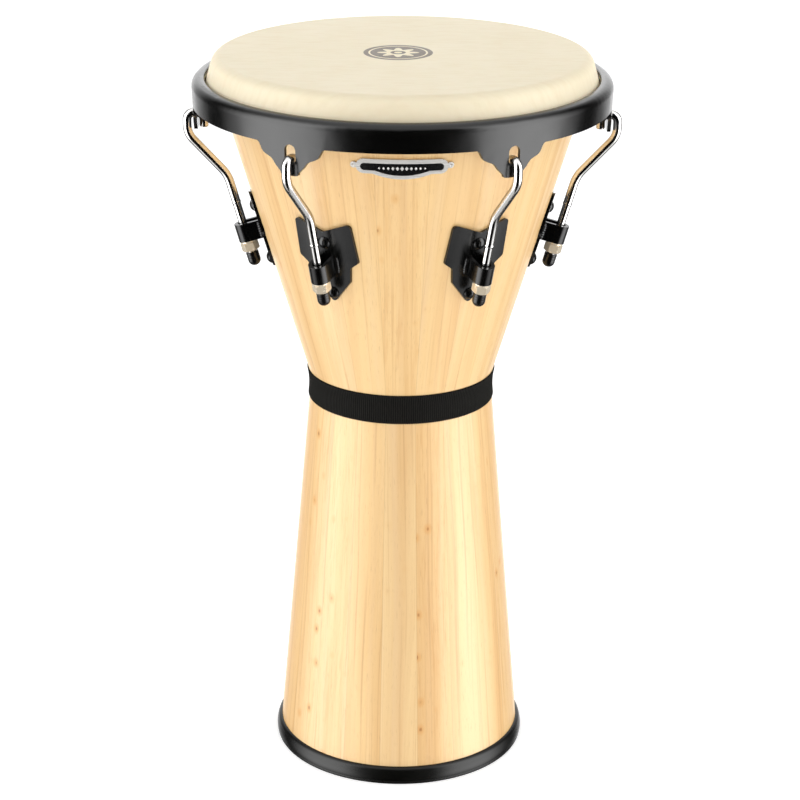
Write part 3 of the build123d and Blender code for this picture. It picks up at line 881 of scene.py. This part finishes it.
def rounded_line(corners, bends):
    """(point, tangent) pairs along a polyline whose inner corners are rounded."""
    line = []
    for before, corner, after, bend in zip(corners, corners[1:], corners[2:], bends):
        back = (before - corner).normalized()
        ahead = (after - corner).normalized()
        half = back.angle(ahead) / 2
        centre = corner + (back + ahead).normalized() * bend / math.sin(half)
        spoke = corner + back * bend / math.tan(half) - centre
        turn = (math.pi - 2 * half) * math.copysign(1, (-back).cross(ahead))
        steps = max(4, round(abs(math.degrees(turn)) / BEND_STEP))
        for step in range(steps + 1):
            swing = Matrix.Rotation(turn * step / steps, 2)
            line.append((centre + swing @ spoke, swing @ -back))
    return line


def rod_line(base, axis):
    """(point, tangent, mark) from the thread's end to the hook's tip, and how many are straight.

    The mark is the distance up the axis on the straight end, None on the bends, and an angle on
    the rounded tip.
    """
    box_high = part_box("lug_rod_2")[1]
    outer_r = box_high.x - ROD_R
    crest_z = box_high.z - ROD_R
    start = base + axis * COLLAR_UP
    slope = axis.x / axis.y
    away = DIAGONAL_R - start.x - (DIAGONAL_Z - start.y) * slope
    low_r = DIAGONAL_R - away / (1 - DIAGONAL_RISE * slope)
    corners = [
        start,
        Vector((low_r, DIAGONAL_Z + DIAGONAL_RISE * (low_r - DIAGONAL_R))),
        Vector((outer_r, DIAGONAL_Z + DIAGONAL_RISE * (outer_r - DIAGONAL_R))),
        Vector((outer_r, crest_z)),
        Vector((outer_r - HOOK_WIDTH, crest_z)),
        Vector((outer_r - HOOK_WIDTH, crest_z - HOOK_TIP_DROP)),
    ]
    stations = []
    length = THREAD_UP + THREAD_SPARE + ROD_END_DOWN
    for index in range(round(length * THREAD_STATIONS / THREAD_PITCH) + 1):
        stations.append(-ROD_END_DOWN + index * THREAD_PITCH / THREAD_STATIONS)
    stations += [THREAD_UP + 1.1 * MM, COLLAR_LOW - 0.8 * MM, COLLAR_LOW - 0.4 * MM, COLLAR_LOW]
    stations += [COLLAR_UP - 0.2 * MM, COLLAR_UP, COLLAR_UP + 0.4 * MM]
    line = [(base + axis * up, axis, up) for up in stations]
    line += [(point, tangent, None) for point, tangent in rounded_line(corners, ROD_BENDS)]
    tip = corners[-1]
    down = Vector((0, -1))
    for step in range(HOOK_TIP_STEPS + 1):
        angle = step / HOOK_TIP_STEPS * math.pi / 2
        line.append((tip - down * HOOK_TIP_ROUND * (1 - math.sin(angle)), down, angle))
    return line, len(stations)


def rod_radius(up, angle):
    """Radius of the straight end at a distance along it and an angle round it."""
    if up >= COLLAR_UP:
        return ROD_R
    if up >= COLLAR_LOW:
        return COLLAR_R
    if up > THREAD_UP + THREAD_RUNOUT:
        return ROD_STEM_R
    phase = (up / THREAD_PITCH - angle / TURN) % 1.0
    crest = max(0.0, 1 - abs(phase - 0.5) / THREAD_FLANK)
    rise = min(1.0, crest * THREAD_FLATTEN) * (THREAD_R - THREAD_ROOT_R)
    fade_up = (THREAD_UP + THREAD_RUNOUT - up) / THREAD_PITCH
    fade_down = (up + ROD_END_DOWN) / THREAD_PITCH + THREAD_TIP_RISE
    fade = min(1.0, fade_up, fade_down)
    return THREAD_ROOT_R + rise * max(0.0, fade)


def rod_mesh():
    """Bent rod with a rolled thread, a collar and a hook, drawn towards +X."""
    base, axis = lug_axis()
    line, straight = rod_line(base, axis)
    rows = []
    for index, (point, tangent, mark) in enumerate(line):
        normal = Vector((tangent.y, -tangent.x))
        row = []
        for side in range(ROD_SIDES):
            angle = TURN * side / ROD_SIDES
            if index < straight:
                radius = rod_radius(mark, angle)
            elif mark is None:
                radius = ROD_R
            else:
                radius = ROD_R - HOOK_TIP_ROUND * (1 - math.cos(mark))
            flat = point + normal * radius * math.cos(angle)
            row.append((flat.x, radius * math.sin(angle), flat.y))
        rows.append(row)
    return grid_mesh("tuning_rod", rows)


def weld_mesh():
    """Two rippled weld beads between a bracket's legs and its plate."""
    base, axis = lug_axis()
    inward = Vector((-axis.y, axis.x))
    mesh = bmesh.new()
    for side in (-1, 1):
        rings = []
        for step in range(WELD_STEPS + 1):
            share = step / WELD_STEPS
            up = WELD_END + share * (BRACKET_HEIGHT - 2 * WELD_END)
            centre = base + axis * up + inward * WELD_OUT
            ripple = 0.5 + 0.5 * math.cos(share * TURN * WELD_RIPPLES)
            round_end = math.sqrt(max(0.0, 1 - (2 * abs(share - 0.5)) ** 6))
            ring = []
            for index in range(WELD_SIDES):
                angle = TURN * index / WELD_SIDES
                lump = noise.noise(Vector((share * 9 + side * 5, math.cos(angle), math.sin(angle))))
                radius = WELD_R + WELD_RIPPLE_DEPTH * ripple + WELD_LUMP_DEPTH * lump
                radius *= max(0.05, round_end)
                flat = centre + inward * radius * math.cos(angle)
                across = side * WELD_ACROSS + radius * math.sin(angle)
                ring.append(mesh.verts.new((flat.x, across, flat.y)))
            rings.append(ring)
        skin_rings(mesh, rings)
    bmesh.ops.recalc_face_normals(mesh, faces=mesh.faces)
    return baked(mesh, "weld_beads")


def cap_mesh():
    """Vinyl cap with a domed end, a rounded mouth and faint rings from its mould."""
    base, axis = lug_axis()
    bend = Vector((CAP_R - CAP_END_ROUND, CAP_END_ROUND - CAP_END_DOWN))
    profile = [Vector((0, -CAP_END_DOWN))]
    profile += arc(bend, CAP_END_ROUND, -math.pi / 2, math.pi / 2, CAP_END_STEPS)
    straight = CAP_END_DOWN - CAP_TOP_DOWN - CAP_END_ROUND - CAP_MOUTH_ROUND
    for step in range(1, CAP_WALL_STEPS):
        share = step / CAP_WALL_STEPS
        groove = CAP_RING_DEPTH * max(0.0, math.cos(share * TURN * CAP_RINGS)) ** 4
        profile.append(Vector((CAP_R - groove, bend.y + straight * share)))
    mouth = Vector((CAP_R - CAP_MOUTH_ROUND, -CAP_TOP_DOWN - CAP_MOUTH_ROUND))
    profile += arc(mouth, CAP_MOUTH_ROUND, 0, math.pi / 2, CAP_MOUTH_STEPS)
    profile += creased([(THREAD_R, -CAP_TOP_DOWN), (THREAD_R, -ROD_END_DOWN), (0, -ROD_END_DOWN)])
    data = lathe("vinyl_cap", profile, CAP_SIDES)
    data.transform(Matrix((
        (axis.y, 0, axis.x, base.x),
        (0, 1, 0, 0),
        (-axis.x, 0, axis.y, base.y),
        (0, 0, 0, 1),
    )))
    return data


def lugs():
    """Rods, caps and weld beads of all six lugs, from one mesh of each."""
    rod = rod_mesh()
    weld = weld_mesh()
    cap = cap_mesh()
    for number, azimuth in enumerate(LUG_AZIMUTHS, 1):
        swing = azimuth - math.pi / 2
        made = piece(f"tuning_rod_{number}", rod, "plated_steel", f"lug_{number}", swing)
        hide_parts(f"lug_rod_{number}")
        piece(f"weld_beads_{number}", weld, "black_powder", "shell", swing)
        cover = piece(f"vinyl_cap_{number}", cap, "black_vinyl", f"lug_{number}", swing)
        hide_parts(f"lug_cap_{number}")


# ---- nameplate ------------------------------------------------------------------------------------------
def name_diamonds():
    """A row of small raised diamonds on the nameplate's inset, larger towards the middle."""
    low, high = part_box("nameplate_inset")
    height = (low.z + high.z) / 2 + DIAMOND_ROW_UP
    radius = shell_radius(height) + NAME_INSET_RISE
    mesh = bmesh.new()
    for index in range(DIAMOND_COUNT):
        step = index - (DIAMOND_COUNT - 1) / 2
        size = 1.0 - abs(step) / DIAMOND_COUNT
        centre = step * DIAMOND_STEP / radius
        corners = []
        for across, up in DIAMOND_CORNERS:
            angle = centre + across * size * MM / radius
            place_z = height + up * size * MM
            out = shell_radius(place_z) + NAME_INSET_RISE - DIAMOND_SINK
            corners.append(mesh.verts.new(on_front(out, angle, place_z)))
        peak = mesh.verts.new(on_front(radius + DIAMOND_HEIGHT, centre, height))
        for corner, after in zip(corners, corners[1:] + corners[:1]):
            mesh.faces.new((corner, after, peak))
        mesh.faces.new(reversed(corners))
    bmesh.ops.recalc_face_normals(mesh, faces=mesh.faces)
    piece("name_diamonds", baked(mesh, "name_diamonds", smooth=False), "badge_metal", "shell")


# ---- studio -------------------------------------------------------------------------------------------
def softbox(name, place, size, power):
    """A soft light aimed at the drum, seen by matt surfaces only."""
    light = bpy.data.lights.new(name, "AREA")
    light.shape = "RECTANGLE"
    light.size, light.size_y = size
    light.energy = power
    made = linked(name, light)
    made.location = place
    made.rotation_mode = "QUATERNION"
    aim = Vector(SOFTBOX_TARGET) - Vector(place)
    made.rotation_quaternion = aim.to_track_quat("-Z", "Y")
    made.visible_glossy = False


def grey(tone):
    return (tone, tone, tone, 1)


def studio():
    """Even light on the matt surfaces; gloss mirrors a dark front, two tall softboxes and a white back."""
    world = bpy.data.worlds.new("studio")
    bpy.context.scene.world = world
    tree = Tree(world)
    background = world.node_tree.nodes["Background"]
    x, y, z = tree.split(tree.add("ShaderNodeTexCoord", {}).outputs["Generated"])
    side = tree.math("ABSOLUTE", tree.azimuth(x, y))
    mirrored = tree.ramp(tree.math("DIVIDE", side, math.pi), SOFTBOX_TONES, "EASE")
    overhead = tree.remap(z, 0.55, 0.9, 0.0, 1.0)
    mirrored = tree.mix(overhead, mirrored, grey(OVERHEAD_TONE))
    underfoot = tree.remap(z, -0.72, -0.4, UNDERFOOT_SHADE, 0.0)
    mirrored = tree.mix(underfoot, mirrored, grey(0))
    mirrored = tree.mix(1.0, mirrored, grey(SOFTBOX_LIGHT), "MULTIPLY")
    rays = tree.add("ShaderNodeLightPath", {}).outputs
    tone = tree.mix(rays["Is Glossy Ray"], grey(WORLD_LIGHT), mirrored)
    tone = tree.mix(rays["Is Camera Ray"], tone, grey(BACKDROP_TONE))
    tree.tree.links.new(tone, background.inputs["Color"])

    side_x, side_y, side_z = SIDE_PLACE
    softbox("left_light", (-side_x, side_y, side_z), SIDE_SIZE, SIDE_POWER)
    softbox("right_light", SIDE_PLACE, SIDE_SIZE, SIDE_POWER)
    softbox("front_light", FRONT_PLACE, FRONT_SIZE, FRONT_POWER)
    pale_floor()


def pale_floor():
    plane = bmesh.new()
    bmesh.ops.create_grid(plane, x_segments=8, y_segments=8, size=FLOOR_SIZE)
    data = baked(plane, "floor", smooth=False)
    floor = linked("floor", data)
    floor.visible_glossy = False
    made, tree, principled = material("pale_floor", Roughness=0.9, Emission_Strength=FLOOR_GLOW)
    principled.inputs["Emission Color"].default_value = grey(1)
    tone = tree.mix(tree.noise(tree.place(), 2.0), linear(246, 246, 246), linear(250, 250, 250))
    feed(tree, principled, Base_Color=tone)
    data.materials.append(made)


def camera():
    data = bpy.data.cameras.new("camera")
    data.lens = CAMERA_LENS
    data.sensor_width = CAMERA_SENSOR
    made = linked("camera", data)
    tilt = Matrix.Rotation(math.pi / 2 - CAMERA_PITCH, 4, "X") @ Matrix.Rotation(CAMERA_ROLL, 4, "Z")
    made.matrix_world = Matrix.Translation(CAMERA_PLACE) @ tilt
    bpy.context.scene.camera = made


dress_frame()
drumhead()
base_ring()
strap()
lugs()
name_diamonds()
studio()
camera()
bpy.context.scene.view_settings.view_transform = "Standard"
